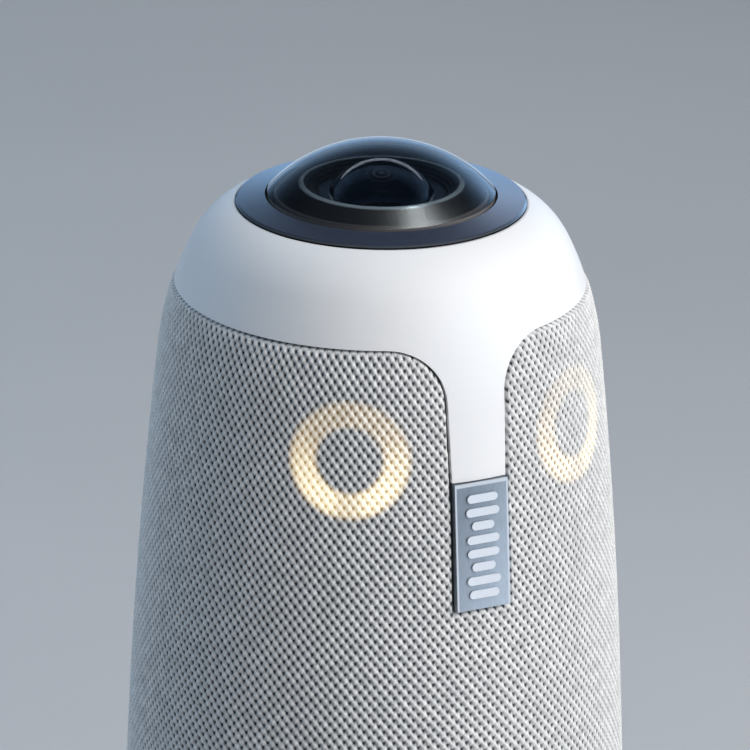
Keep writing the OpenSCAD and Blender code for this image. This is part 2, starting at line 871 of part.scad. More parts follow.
module lens_barrel() {
    low = camera_board_z + board_t + 3.5;
    seat = fisheye_back;
    rim = fisheye_base - 1.2;
    color("black")
        difference() {
            translate([0, 0, low]) cylinder(r = barrel_r, h = rim - low, $fn = smooth);
            translate([0, 0, low - 1]) cylinder(r = barrel_bore_r, h = 40, $fn = smooth);
            translate([0, 0, seat]) cylinder(r = fisheye_r + 0.03, h = 10, $fn = smooth);
        }
}

module rear_lens_group() {
    low = camera_board_z + board_t + 4.5;
    color("lightblue") {
        translate([0, 0, low]) cylinder(r = barrel_bore_r, h = 4);
        intersection() {
            translate([0, 0, low - 8]) sphere(r = 14);
            translate([0, 0, low + 3.9]) cylinder(r = 7.2, h = 5);
        }
    }
}

module aperture_ring() {
    z = camera_board_z + board_t + 11;
    color("black")
        rotate_extrude($fn = smooth)
            polygon([[2.2, z], [barrel_bore_r, z - 0.4], [barrel_bore_r, z + 0.8], [2.2, z + 0.4]]);
}

module second_lens_element() {
    low = camera_board_z + board_t + 12.2;
    color("lightblue")
        difference() {
            union() {
                translate([0, 0, low]) cylinder(r = barrel_bore_r, h = 2);
                intersection() {
                    translate([0, 0, low - 7.4]) sphere(r = 11.6);
                    translate([0, 0, low + 1.9]) cylinder(r = 7, h = 5);
                }
            }
            translate([0, 0, low - 6.5]) sphere(r = 8.5);
        }
}

module fisheye_element() {
    color("black")
        difference() {
            union() {
                translate([0, 0, fisheye_back])
                    cylinder(r = fisheye_r, h = fisheye_base - fisheye_back, $fn = smooth);
                intersection() {
                    translate([0, 0, fisheye_base + fisheye_h - fisheye_rho])
                        sphere(r = fisheye_rho, $fn = smooth);
                    translate([0, 0, fisheye_base - 0.1]) cylinder(r = fisheye_r, h = 10, $fn = smooth);
                }
            }
            translate([0, 0, fisheye_back - 5]) sphere(r = 9, $fn = smooth);
        }
}

module lens_retaining_ring() {
    color("black") ring(shroud_bore_r - 0.05, fisheye_r + 0.05, fisheye_base - 1.2, fisheye_base - 0.2);
}

// Stepped light trap inside, smooth glossy cone outside
module lens_shroud() {
    baffles = 4;
    low = fisheye_base - 0.7;
    rise = 2.5;
    reach = shroud_rim_r - 0.3 - shroud_bore_r;
    color("black")
        rotate_extrude($fn = smooth)
            polygon(concat(
                [[shroud_bore_r, flange_z]],
                [for (i = [0:baffles - 1], end = [0, 1])
                    [shroud_bore_r + reach * (i + end) / baffles, low + rise * i / baffles]],
                [[shroud_rim_r - 0.3, low + rise], [shroud_rim_r + 0.2, low + rise],
                    [shroud_r, low - 0.2], [shroud_r, flange_z]]));
}

module lens_dome() {
    centre = dome_base + dome_h - dome_rho;
    color("midnightblue", 0.5)
        difference() {
            intersection() {
                translate([0, 0, centre]) sphere(r = dome_rho, $fn = smooth);
                translate([0, 0, flange_z]) cylinder(r = dome_r, h = 30, $fn = smooth);
            }
            intersection() {
                translate([0, 0, centre]) sphere(r = dome_rho - dome_t, $fn = smooth);
                translate([0, 0, flange_z - 1]) cylinder(r = dome_r - dome_t, h = 30, $fn = smooth);
            }
        }
}

module dome_seal() {
    color("black") ring(seal_r - 0.05, dome_r + 0.05, flange_z, ring_top - 0.3);
}

module trim_ring() {
    top_drop = 0.85;
    chamfer = 0.5;
    foot_z = cap_top + 0.05;
    hollow_z = foot_z + 0.2;
    color("black")
        rotate_extrude($fn = smooth)
            polygon([
                [seal_r, flange_z], [seal_r, ring_top], [ring_r - chamfer, ring_top - top_drop],
                [ring_r, ring_top - top_drop - chamfer], [ring_r, foot_z], [ring_r - 1, foot_z],
                [ring_r - 1, hollow_z], [seal_r + 0.8, hollow_z], [seal_r + 0.8, flange_z],
            ]);
}

rubber_foot();
base_plate();
tripod_insert();
base_screws();
base_band();
port_bezel();
io_board();
data_socket();
power_socket();
power_lead();
volume_down_key();
volume_up_key();
mute_key();
pair_key();
key_board();
key_switches();
speaker_box();
speaker_box_lid();
chassis_screws();
speaker_baskets();
speaker_magnets();
speaker_surrounds();
rear_cone();
left_cone();
right_cone();
chassis_frame();
main_board();
processor_shield();
heat_sink();
board_parts();
board_screws();
wifi_antennas();
mic_board();
microphones();
mic_gaskets();
eye_diffuser_left();
eye_diffuser_right();
eye_centre_masks();
eye_light_boards();
eye_leds();
grille_shell();
fabric_sleeve();
top_cap();
tag_plate();
camera_ribbon();
camera_board();
image_sensor();
camera_housing();
camera_screws();
lens_barrel();
rear_lens_group();
aperture_ring();
second_lens_element();
fisheye_element();
lens_retaining_ring();
lens_shroud();
lens_dome();
dome_seal();
trim_ring();
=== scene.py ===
"""Tall conference camera: fisheye lens under a dome, white cap with a stem, metal tag, knitted sleeve
with two light rings behind it, and a base with keys and ports. Metres, in the frame of the CAD part."""
import json
import math

import bpy
import numpy as np
from mathutils import Matrix, Vector


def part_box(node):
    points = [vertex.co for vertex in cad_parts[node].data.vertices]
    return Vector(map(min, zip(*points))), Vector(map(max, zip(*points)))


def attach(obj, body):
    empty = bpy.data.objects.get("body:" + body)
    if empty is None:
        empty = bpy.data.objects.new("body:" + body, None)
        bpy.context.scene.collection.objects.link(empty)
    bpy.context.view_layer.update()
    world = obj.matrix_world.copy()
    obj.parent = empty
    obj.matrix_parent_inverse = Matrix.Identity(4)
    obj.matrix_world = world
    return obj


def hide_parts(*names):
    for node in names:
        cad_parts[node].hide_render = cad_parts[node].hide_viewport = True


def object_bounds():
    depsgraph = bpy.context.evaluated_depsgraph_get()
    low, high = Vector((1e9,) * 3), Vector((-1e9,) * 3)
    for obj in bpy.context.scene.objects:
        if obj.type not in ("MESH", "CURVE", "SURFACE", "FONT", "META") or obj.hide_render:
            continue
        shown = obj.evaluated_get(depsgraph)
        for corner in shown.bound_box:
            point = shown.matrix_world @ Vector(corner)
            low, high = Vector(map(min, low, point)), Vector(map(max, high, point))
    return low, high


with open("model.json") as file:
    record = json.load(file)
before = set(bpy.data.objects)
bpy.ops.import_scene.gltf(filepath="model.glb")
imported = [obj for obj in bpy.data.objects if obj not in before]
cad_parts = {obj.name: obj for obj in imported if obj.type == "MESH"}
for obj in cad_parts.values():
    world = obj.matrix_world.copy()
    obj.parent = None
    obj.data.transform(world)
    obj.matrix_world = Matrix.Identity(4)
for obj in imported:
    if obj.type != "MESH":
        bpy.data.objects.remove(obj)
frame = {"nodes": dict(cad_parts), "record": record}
cad_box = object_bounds()
nodes = frame["nodes"]
MM = 0.001

# ---------------------------------------------------------------- camera

VIEW_AZIMUTH = math.radians(-25.6)
VIEW_ELEVATION = math.radians(21.1)
VIEW_ROLL = math.radians(0.68)
VIEW_DISTANCE = 0.896
VIEW_HEIGHT = 0.226
VIEW_SIDESTEP = -0.8 * MM
LENS_MM = 222


def direction(azimuth, elevation):
    """Unit vector from the object towards a viewer or a light; azimuth 0 is the front, -Y."""
    return Vector((math.sin(azimuth) * math.cos(elevation),
                   -math.cos(azimuth) * math.cos(elevation), math.sin(elevation)))


def add_camera():
    """The photograph's view."""
    back = direction(VIEW_AZIMUTH, VIEW_ELEVATION)
    right = Vector((math.cos(VIEW_AZIMUTH), math.sin(VIEW_AZIMUTH), 0))
    up = back.cross(right)
    tilted_right = right * math.cos(VIEW_ROLL) + up * math.sin(VIEW_ROLL)
    tilted_up = up * math.cos(VIEW_ROLL) - right * math.sin(VIEW_ROLL)
    turn = Matrix((tilted_right, tilted_up, back)).transposed()
    place = Vector((0, 0, VIEW_HEIGHT)) + right * VIEW_SIDESTEP + back * VIEW_DISTANCE
    data = bpy.data.cameras.new("camera")
    data.lens = LENS_MM
    data.sensor_width = 36
    camera = bpy.data.objects.new("camera", data)
    camera.matrix_world = Matrix.Translation(place) @ turn.to_4x4()
    bpy.context.collection.objects.link(camera)
    bpy.context.scene.camera = camera


add_camera()

# ---------------------------------------------------------------- outline of the body

BASE_R = 55.5 * MM
BASE_LEAN = math.radians(2.03)
SIDE_RHO = 11.6
UPPER_RHO = 1.158
SHOULDER_RHO = 61.4 * MM
ROLL_RHO = 16.8 * MM
TOP_Z = cad_box[1].z
SIDE_TOP = TOP_Z - 114.6 * MM
SHOULDER_Z = TOP_Z - 39.7 * MM
ROLL_Z = TOP_Z - 19.1 * MM


def next_centre(centre, rho, z, next_rho):
    lean = math.asin((z - centre[1]) / rho)
    return (centre[0] + (rho - next_rho) * math.cos(lean), centre[1] + (rho - next_rho) * math.sin(lean))


SIDE_C = (BASE_R - SIDE_RHO * math.cos(BASE_LEAN), -SIDE_RHO * math.sin(BASE_LEAN))
UPPER_C = next_centre(SIDE_C, SIDE_RHO, SIDE_TOP, UPPER_RHO)
SHOULDER_C = next_centre(UPPER_C, UPPER_RHO, SHOULDER_Z, SHOULDER_RHO)
ROLL_C = next_centre(SHOULDER_C, SHOULDER_RHO, ROLL_Z, ROLL_RHO)
ARCS = [(SIDE_C, SIDE_RHO), (UPPER_C, UPPER_RHO), (SHOULDER_C, SHOULDER_RHO), (ROLL_C, ROLL_RHO)]


def outline(z):
    """Radius of the body and the lean of its surface at heights z (arrays)."""
    z = np.asarray(z, float)
    which = np.digitize(z, [SIDE_TOP, SHOULDER_Z, ROLL_Z])
    radius, lean = np.zeros_like(z), np.zeros_like(z)
    for i, (centre, rho) in enumerate(ARCS):
        part = which == i
        up = (z[part] - centre[1]) / rho
        radius[part] = centre[0] + rho * np.sqrt(1 - up ** 2)
        lean[part] = np.arcsin(up)
    return radius, lean


# ---------------------------------------------------------------- places taken from the frame

TAG_LOW, TAG_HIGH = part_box("tag_plate")
SLEEVE_LOW, SLEEVE_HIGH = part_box("fabric_sleeve")
TAG_PROUD = 0.35 * MM
STEM_Z = TAG_HIGH.z + 0.1 * MM
SEAM_Z = TOP_Z - 27 * MM
STEM_HALF = TAG_HIGH.x
STEM_TOP_HALF = STEM_HALF + 0.35 * MM
STEM_FILLET = 10 * MM
EYE_Z = TOP_Z - 47.5 * MM
SHROUD_RIM_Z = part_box("lens_shroud")[1].z
RING_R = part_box("trim_ring")[1].x
DOME_FOOT_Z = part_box("trim_ring")[1].z + 0.35 * MM
FISHEYE_BASE = TOP_Z - 9.2 * MM
KEY_Z = 12.8 * MM
KEY_TURN = math.radians(17)
KEY_PROUD = 0.3 * MM
EYE_ANGLE = math.radians(32.7)
EYE_OUTER = 11.3 * MM
EYE_INNER = 6.1 * MM
EYE_BLUR = 1.2 * MM
EYE_REACH = 6 * MM
LEFT, RIGHT = -1, 1
EYE_FULL = {LEFT: 1.0, RIGHT: 0.62}

# ---------------------------------------------------------------- node and material tools


def colour(rgb):
    return (*rgb, 1.0)


def shade(rgb, factor):
    return tuple(min(1.0, channel * factor) for channel in rgb)


class Nodes:
    """Short ways to add nodes to a tree; a value is a number, a tuple, a vector or another node's output."""

    def __init__(self, tree):
        self.tree = tree

    def make(self, kind, **settings):
        node = self.tree.nodes.new(kind)
        for key, value in settings.items():
            setattr(node, key, value)
        return node

    def feed(self, socket, value):
        if isinstance(value, bpy.types.NodeSocket):
            self.tree.links.new(value, socket)
        else:
            socket.default_value = value

    def math(self, operation, *values):
        node = self.make("ShaderNodeMath", operation=operation)
        for socket, value in zip(node.inputs, values):
            self.feed(socket, value)
        return node.outputs[0]

    def vector(self, operation, *values, result="Vector"):
        node = self.make("ShaderNodeVectorMath", operation=operation)
        for socket, value in zip(node.inputs, values):
            self.feed(socket, value)
        return node.outputs[result]

    def along(self, vector, axis):
        """Length of a vector along a unit vector."""
        return self.vector("DOT_PRODUCT", vector, axis, result="Value")

    def span(self, value, low, high, to_low=0.0, to_high=1.0, smooth=False):
        """Maps value from low..high to to_low..to_high, clamped."""
        node = self.make("ShaderNodeMapRange", clamp=True)
        if smooth:
            node.interpolation_type = "SMOOTHSTEP"
        for socket, number in zip(node.inputs, (value, low, high, to_low, to_high)):
            self.feed(socket, number)
        return node.outputs[0]

    def mix(self, share, first, second):
        """Colour between first and second: first where share is 0."""
        node = self.make("ShaderNodeMix", data_type="RGBA")
        self.feed(node.inputs[0], share)
        self.feed(node.inputs[6], colour(first) if isinstance(first, tuple) else first)
        self.feed(node.inputs[7], colour(second) if isinstance(second, tuple) else second)
        return node.outputs[2]


class Finish(Nodes):
    """A procedural material built round one Principled shader, in the object's own coordinates."""

    def __init__(self, name, roughness=0.5, metallic=0.0, **constants):
        self.material = bpy.data.materials.new(name)
        self.material.use_nodes = True
        super().__init__(self.material.node_tree)
        self.shader = self.tree.nodes["Principled BSDF"]
        self.shader.inputs["Roughness"].default_value = roughness
        self.shader.inputs["Metallic"].default_value = metallic
        self.paint(**constants)
        self.place = self.make("ShaderNodeTexCoord").outputs["Object"]

    def paint(self, **sockets):
        for socket, value in sockets.items():
            self.feed(self.shader.inputs[socket.replace("_", " ")], value)

    def axis(self, name):
        """One of the object's coordinates."""
        node = self.make("ShaderNodeSeparateXYZ")
        self.feed(node.inputs[0], self.place)
        return node.outputs[name]

    def radius(self):
        """Distance from the camera's upright axis."""
        squares = [self.math("POWER", self.axis(name), 2.0) for name in "XY"]
        return self.math("SQRT", self.math("ADD", *squares))

    def stretched(self, scale):
        """The object's coordinates, scaled per axis."""
        return self.vector("MULTIPLY", self.place, scale)

    def noise(self, scale, detail=3.0, place=None):
        node = self.make("ShaderNodeTexNoise")
        self.feed(node.inputs["Vector"], place or self.place)
        node.inputs["Scale"].default_value = scale
        node.inputs["Detail"].default_value = detail
        return node.outputs["Fac"]

    def clouds(self, scale, detail=2):
        """Soft patches: noise stretched to the whole of 0..1."""
        return self.span(self.noise(scale, detail), 0.3, 0.7)

    def bump(self, height, distance, strength):
        node = self.make("ShaderNodeBump")
        node.inputs["Strength"].default_value = strength
        node.inputs["Distance"].default_value = distance
        self.feed(node.inputs["Height"], height)
        self.feed(self.shader.inputs["Normal"], node.outputs["Normal"])


def grained(name, rgb, roughness, grain=3600, depth=0.02 * MM, spread=0.06, metallic=0.0, **constants):
    """Moulded or cast surface: fine texture, cloudy colour and gloss variation."""
    f = Finish(name, roughness, metallic, **constants)
    f.paint(Base_Color=f.mix(f.clouds(40, 4), shade(rgb, 1 - spread), shade(rgb, 1 + spread)))
    f.paint(Roughness=f.span(f.noise(160, 3), 0.3, 0.7, roughness * 0.85, min(1, roughness * 1.15)))
    f.bump(f.noise(grain, 2), depth, 0.6)
    return f.material


def brushed(name, rgb, roughness, along="x"):
    """Metal with fine scratches that run along one axis."""
    f = Finish(name, roughness, 1.0)
    squeeze = {"x": (60, 6000, 6000), "z": (6000, 6000, 60)}[along]
    scratch = f.noise(1, 3, place=f.stretched(squeeze))
    f.paint(Base_Color=f.mix(f.span(scratch, 0.25, 0.75), shade(rgb, 0.88), shade(rgb, 1.12)))
    f.paint(Roughness=f.span(scratch, 0.2, 0.8, roughness * 0.7, roughness * 1.35))
    f.bump(scratch, 0.01 * MM, 0.5)
    return f.material


# ---------------------------------------------------------------- knit

WALES = 160
COURSE = 2.26 * MM
TILT_SHARE = 0.18
CHEVRON = 0.15
HOLE_DEPTH = 0.62 * MM
HOLE_POWER = 1.25
KNIT_PROUD = 0.12 * MM
STEPS_PER_STITCH = 6
CUT_GAP = 0.4 * MM
EDGE_TUCK = 0.8 * MM
EDGE_SINK = 1.15 * MM
CUT_OUT_REACH = 20 * MM


def knit_mask(wale, course):
    """From -1 on a stitch to 1 in an opening, for arrays of wale and course numbers."""
    course = course - CHEVRON * (1 - np.cos(4 * np.pi * wale)) / 2
    left = np.cos(2 * np.pi * (wale + course))
    right = np.cos(2 * np.pi * (wale - course))
    return (0.5 + TILT_SHARE / 2) * left + (0.5 - TILT_SHARE / 2) * right


def eye_axis(side):
    """Centre on the skin, outward normal and upward direction of the light ring on one side."""
    radius, lean = outline(np.array([EYE_Z]))
    normal = direction(side * EYE_ANGLE, float(lean[0]))
    upward = direction(side * EYE_ANGLE, float(lean[0]) + math.pi / 2)
    ring = direction(side * EYE_ANGLE, 0) * float(radius[0])
    return ring + Vector((0, 0, EYE_Z)), normal, upward


def eye_light(f, side):
    """Share of light that reaches the knit over one ring: strongest round its lower half, faint on top."""
    centre, normal, upward = eye_axis(side)
    away = f.vector("SUBTRACT", f.place, centre)
    depth = f.along(away, normal)
    height = f.along(away, upward)
    flat = f.math("SQRT", f.math("SUBTRACT", f.along(away, away), f.math("MULTIPLY", depth, depth)))
    outer = f.span(flat, EYE_OUTER - EYE_BLUR, EYE_OUTER + EYE_BLUR * 0.7, 1, 0, smooth=True)
    inner = f.span(flat, EYE_INNER - EYE_BLUR * 0.4, EYE_INNER + EYE_BLUR, 0, 1, smooth=True)
    near = f.math("LESS_THAN", f.math("ABSOLUTE", depth), EYE_REACH)
    ring = f.math("MULTIPLY", f.math("MULTIPLY", outer, inner), near)
    low = f.math("DIVIDE", f.math("MULTIPLY", height, -1.0), f.math("MAXIMUM", flat, 1 * MM))
    full = EYE_FULL[side]
    strength = f.span(low, -0.9, 0.75, 0.30 * full, full, smooth=True)
    dip = f.span(low, 0.93, 1.0, 1.0, 0.66, smooth=True)
    return f.math("MULTIPLY", f.math("MULTIPLY", ring, strength), dip)


def knit_finish():
    """Pale yarn with painted shade in its openings, where knit_mask has them, and along its grooves, and the
    glow of the two light rings painted onto the knit as emission.
    """
    f = Finish("knit", 0.92, Sheen_Weight=0.12, Sheen_Roughness=0.5)
    turn = f.math("ARCTAN2", f.axis("Y"), f.axis("X"))
    sway = f.math("MULTIPLY", f.math("SUBTRACT", f.noise(260, 2), 0.5), 0.9)
    wale = f.math("MULTIPLY", turn, float(WALES))
    twice = f.math("COSINE", f.math("MULTIPLY", wale, 2.0))
    bend = f.math("MULTIPLY", f.math("SUBTRACT", 1.0, twice), CHEVRON * math.pi)
    height = f.math("SUBTRACT", f.axis("Z"), SLEEVE_LOW.z)
    course = f.math("SUBTRACT", f.math("MULTIPLY", height, 2 * math.pi / COURSE), bend)
    wale = f.math("ADD", wale, sway)
    left = f.math("COSINE", f.math("ADD", wale, course))
    right = f.math("COSINE", f.math("SUBTRACT", wale, course))
    mask = f.math("ADD", f.math("MULTIPLY", left, 0.5 + TILT_SHARE / 2),
                  f.math("MULTIPLY", right, 0.5 - TILT_SHARE / 2))
    stitch = f.noise(420, 2)
    strand = f.noise(2600, 3)
    ragged = f.math("ADD", mask, f.math("MULTIPLY", f.math("SUBTRACT", strand, 0.5), 0.5))
    # Painted shade: grey along the grooves between the stitches, near-black in the openings.
    groove_shade = f.span(ragged, -0.40, 0.50, smooth=True)
    opening = f.span(ragged, 0.36, 0.88, smooth=True)
    yarn = f.mix(f.span(stitch, 0.3, 0.7), (0.66, 0.665, 0.66), (0.88, 0.88, 0.87))
    yarn = f.mix(f.span(strand, 0.35, 0.75, 0, 0.35), yarn, (0.42, 0.43, 0.44))
    yarn = f.mix(f.math("MULTIPLY", groove_shade, 0.55), yarn, (0.20, 0.215, 0.23))
    f.paint(Base_Color=f.mix(opening, yarn, (0.045, 0.050, 0.055)))
    f.bump(f.math("ADD", f.math("MULTIPLY", strand, 0.5), f.math("MULTIPLY", mask, -0.6)), 0.12 * MM, 0.8)
    # The light of the rings through the knit is painted on as emission: brighter on the yarn, dimmer and
    # deeper orange in the openings.
    light = f.math("ADD", eye_light(f, LEFT), eye_light(f, RIGHT))
    on_yarn = f.mix(light, (0.94, 0.60, 0.18), (1.0, 0.84, 0.52))
    in_opening = f.mix(light, (0.46, 0.22, 0.055), (0.74, 0.50, 0.20))
    glow = f.mix(f.math("MULTIPLY", opening, 0.8), on_yarn, in_opening)
    f.paint(Emission_Color=glow, Emission_Strength=f.math("MULTIPLY", light, 0.74))
    return f.material


def add_piece(mesh, material):
    """Object with the mesh's own name, in the scene."""
    mesh.materials.append(material)
    piece = bpy.data.objects.new(mesh.name, mesh)
    bpy.context.collection.objects.link(piece)
    return piece


def fast_mesh(name, vertices, corners, sizes, material):
    """Mesh from arrays: all the faces' corners in one list, and each face's number of corners."""
    mesh = bpy.data.meshes.new(name)
    mesh.vertices.add(len(vertices))
    mesh.vertices.foreach_set("co", np.asarray(vertices, np.float32).ravel())
    mesh.loops.add(len(corners))
    mesh.loops.foreach_set("vertex_index", np.asarray(corners, np.int32))
    starts = np.concatenate(([0], np.cumsum(sizes)[:-1]))
    mesh.polygons.add(len(sizes))
    mesh.polygons.foreach_set("loop_start", starts.astype(np.int32))
    mesh.polygons.foreach_set("loop_total", np.asarray(sizes, np.int32))
    mesh.update(calc_edges=True)
    mesh.polygons.foreach_set("use_smooth", np.ones(len(sizes), bool))
    mesh.validate()
    return add_piece(mesh, material)


def slot_distance(x, z):
    """Distance from the cloth's cut edge, seen from the front: above 0 on the cloth, below 0 off it."""
    seam = SEAM_Z - CUT_GAP - z
    share = np.clip((z - STEM_Z) / (SEAM_Z - STEM_FILLET - STEM_Z), 0, 1)
    half = STEM_HALF + CUT_GAP + (STEM_TOP_HALF - STEM_HALF) * share
    low = TAG_LOW.z - 0.1 * MM - CUT_GAP
    side = np.abs(x) - half
    below = low - z
    stem = np.where((side > 0) & (below > 0), np.hypot(side, below), np.maximum(side, below))
    r = STEM_FILLET - CUT_GAP
    rounded = r - np.hypot(np.maximum(r - seam, 0), np.maximum(r - side, 0))
    return np.where((seam < r) & (side < r), rounded, np.minimum(seam, stem))


def knit_sleeve():
    """Knitted tube: a grid of STEPS_PER_STITCH columns to a stitch, raised there, tucked in at its edges."""
    columns = WALES * STEPS_PER_STITCH
    rows = round((SEAM_Z - SLEEVE_LOW.z) / COURSE * STEPS_PER_STITCH) + 1
    step = COURSE / STEPS_PER_STITCH
    turn = np.arange(columns) * 2 * np.pi / columns
    z = SLEEVE_LOW.z + np.arange(rows) * step
    turn, z = np.meshgrid(turn, z)
    radius, _ = outline(z)
    x = radius * np.cos(turn)
    front = np.sin(turn) < 0
    near = front & (np.abs(x) < CUT_OUT_REACH)
    edge = np.where(near, slot_distance(x, z), SEAM_Z - CUT_GAP - z)
    snapped = np.abs(edge) < step / 2
    # Vertices close to the cut edge move onto it, along the distance's own slope
    nudge = step / 20
    slope_x = (slot_distance(x + nudge, z) - slot_distance(x - nudge, z)) / (2 * nudge)
    slope_z = (slot_distance(x, z + nudge) - slot_distance(x, z - nudge)) / (2 * nudge)
    slope_x = np.where(near, slope_x, 0)
    slope_z = np.where(near, slope_z, -1)
    shift = np.where(snapped, -edge, 0)
    z = z + shift * slope_z
    sideways = -shift * slope_x / np.minimum(radius * np.sin(turn), -1 * MM)
    turn = turn + np.where(near & snapped, sideways, 0)
    radius, _ = outline(z)
    valid = edge > -step / 2
    wale = turn * WALES / (2 * np.pi)
    mask = knit_mask(wale, (z - SLEEVE_LOW.z) / COURSE)
    raised = KNIT_PROUD - HOLE_DEPTH * np.clip((mask + 1) / 2, 0, 1) ** HOLE_POWER
    cut_edge = np.clip(1 - np.where(snapped, 0, edge) / EDGE_TUCK, 0, 1)
    low_edge = np.clip(1 - (z - SLEEVE_LOW.z) / EDGE_TUCK, 0, 1)
    round_off = np.maximum(cut_edge, low_edge)
    raised = raised * (1 - round_off) - EDGE_TUCK * (1 - np.sqrt(1 - round_off ** 2))
    raised = np.where(snapped, -EDGE_SINK, raised)
    r = radius + raised
    vertices = np.stack([r * np.cos(turn), r * np.sin(turn), z], -1).reshape(-1, 3)
    index = np.arange(rows * columns).reshape(rows, columns)
    a, b = index[:-1], np.roll(index, -1, 1)[:-1]
    c, d = np.roll(index, -1, 1)[1:], index[1:]
    quads = np.stack([a, b, c, d], -1).reshape(-1, 4)
    ok = valid.ravel()[quads]
    whole = quads[ok.all(1)]
    three = quads[ok.sum(1) == 3]
    keep = ok[ok.sum(1) == 3]
    triangles = three[keep].reshape(-1, 3)
    corners = np.concatenate([whole.ravel(), triangles.ravel()])
    sizes = np.concatenate([np.full(len(whole), 4), np.full(len(triangles), 3)])
    used = np.zeros(len(vertices), bool)
    used[corners] = True
    renumber = np.cumsum(used) - 1
    return fast_mesh("knit_sleeve", vertices[used], renumber[corners], sizes, knit_finish())


sleeve = knit_sleeve()
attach(sleeve, "root")
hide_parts("fabric_sleeve")
heights = np.linspace(SLEEVE_LOW.z, SLEEVE_HIGH.z, 400)
radii, leans = outline(heights)

# ---------------------------------------------------------------- finishes of the CAD nodes


def dome_finish():
    """Dark clear glass that lets light straight through, denser towards its rim, with a pale band painted
    round its foot as a highlight line.
    """
    f = Finish("dome_glass", 0.03, IOR=1.5)
    rgb = (0.003, 0.005, 0.009)
    tint = f.mix(f.clouds(30), shade(rgb, 0.9), shade(rgb, 1.1))
    # Painted highlight: a pale band round the foot of the dome.
    foot = f.span(f.axis("Z"), DOME_FOOT_Z, DOME_FOOT_Z + 0.15 * MM, 1, 0)
    f.paint(Base_Color=f.mix(foot, tint, (0.22, 0.21, 0.21)))
    weight = f.make("ShaderNodeLayerWeight")
    weight.inputs["Blend"].default_value = 0.35
    f.paint(Alpha=f.span(weight.outputs["Facing"], 0.0, 1.0, 0.30, 0.95))
    return f.material


def lens_finish():
    """Clear solid glass."""
    f = Finish("lens_glass", 0.0, Transmission_Weight=1.0, IOR=1.55)
    rgb = (0.7, 0.78, 0.9)
    f.paint(Base_Color=f.mix(f.clouds(60), shade(rgb, 0.95), shade(rgb, 1.05)))
    return f.material


def glowing(name, rgb, strength):
    """Diffuser lit from behind."""
    f = Finish(name, 0.5, Emission_Strength=strength)
    cloud = f.clouds(120, 3)
    f.paint(Base_Color=f.mix(cloud, shade(rgb, 0.92), rgb))
    f.paint(Emission_Color=f.mix(cloud, shade(rgb, 0.85), rgb))
    return f.material


def board_finish():
    """Green lacquer with a pattern of traces."""
    f = Finish("circuit_board", 0.35, Coat_Weight=0.4, Coat_Roughness=0.15)
    grid = f.make("ShaderNodeTexVoronoi", distance="MANHATTAN")
    f.feed(grid.inputs["Vector"], f.place)
    grid.inputs["Scale"].default_value = 420
    trace = f.span(grid.outputs["Distance"], 0.1, 0.22)
    f.paint(Base_Color=f.mix(trace, (0.03, 0.20, 0.09), (0.012, 0.09, 0.04)))
    f.bump(trace, 0.02 * MM, 0.4)
    return f.material


def shroud_finish():
    """Dark glossy metal with a thin, smoother lip round its rim, painted pale as a highlight line."""
    f = Finish("shroud_gloss", 0.3, 0.85)
    turned = f.noise(1, 3, place=f.stretched((60, 60, 9000)))
    body = f.mix(f.span(turned, 0.3, 0.7), (0.125, 0.133, 0.137), (0.155, 0.163, 0.168))
    # The pale bluish lip is a painted highlight line round the rim.
    lip = f.span(f.axis("Z"), SHROUD_RIM_Z - 0.35 * MM, SHROUD_RIM_Z - 0.2 * MM)
    f.paint(Base_Color=f.mix(lip, body, (0.52, 0.64, 0.72)))
    f.paint(Roughness=f.span(lip, 0, 1, 0.3, 0.18), Metallic=f.span(lip, 0, 1, 0.85, 0.2))
    f.bump(turned, 0.004 * MM, 0.5)
    return f.material


def tag_finish():
    """Brushed grey plate with a painted reflection, darker towards its upper left; its raised bars are pale,
    and painted highlights run along its side and top edges.
    """
    f = Finish("brushed_tag", 0.4, 0.55)
    middle = (TAG_LOW.z + TAG_HIGH.z) / 2
    radius, lean = outline(np.array([middle]))
    away = f.vector("SUBTRACT", f.place, Vector((0, -float(radius[0]), middle)))
    proud = f.along(away, direction(0, float(lean[0])))
    raised = f.span(proud, TAG_PROUD + 0.1 * MM, TAG_PROUD + 0.25 * MM)
    scratch = f.noise(1, 3, place=f.stretched((6000, 6000, 60)))
    # Painted reflection: the plate darker towards its upper left, lighter towards its lower right.
    slant = f.math("SUBTRACT", f.axis("Z"), f.math("MULTIPLY", f.axis("X"), 2.0))
    painted_reflection = f.span(slant, TAG_LOW.z - 6 * MM, TAG_HIGH.z + 3 * MM)
    dull = f.mix(painted_reflection, (0.46, 0.53, 0.59), (0.23, 0.27, 0.31))
    bright = f.mix(painted_reflection, (0.60, 0.68, 0.76), (0.30, 0.35, 0.40))
    plate = f.mix(f.span(scratch, 0.25, 0.75), dull, bright)
    # Painted highlights along the plate's side and top edges, on its front only.
    across = f.math("ABSOLUTE", f.axis("X"))
    side = f.span(across, TAG_HIGH.x - 0.42 * MM, TAG_HIGH.x - 0.28 * MM)
    top = f.span(f.axis("Z"), TAG_HIGH.z - 0.75 * MM, TAG_HIGH.z - 0.6 * MM)
    front = f.span(proud, TAG_PROUD - 0.2 * MM, TAG_PROUD - 0.1 * MM)
    edge_highlight = f.math("MULTIPLY", f.math("MAXIMUM", side, top), front)
    # Pale for the raised bars' own colour and for the painted edge highlights.
    bars_and_edge_highlight = f.math("MAXIMUM", raised, f.math("MULTIPLY", edge_highlight, 0.75))
    f.paint(Base_Color=f.mix(bars_and_edge_highlight, plate, (0.86, 0.88, 0.90)))
    f.paint(Roughness=f.span(scratch, 0.2, 0.8, 0.28, 0.5))
    f.bump(scratch, 0.01 * MM, 0.5)
    return f.material


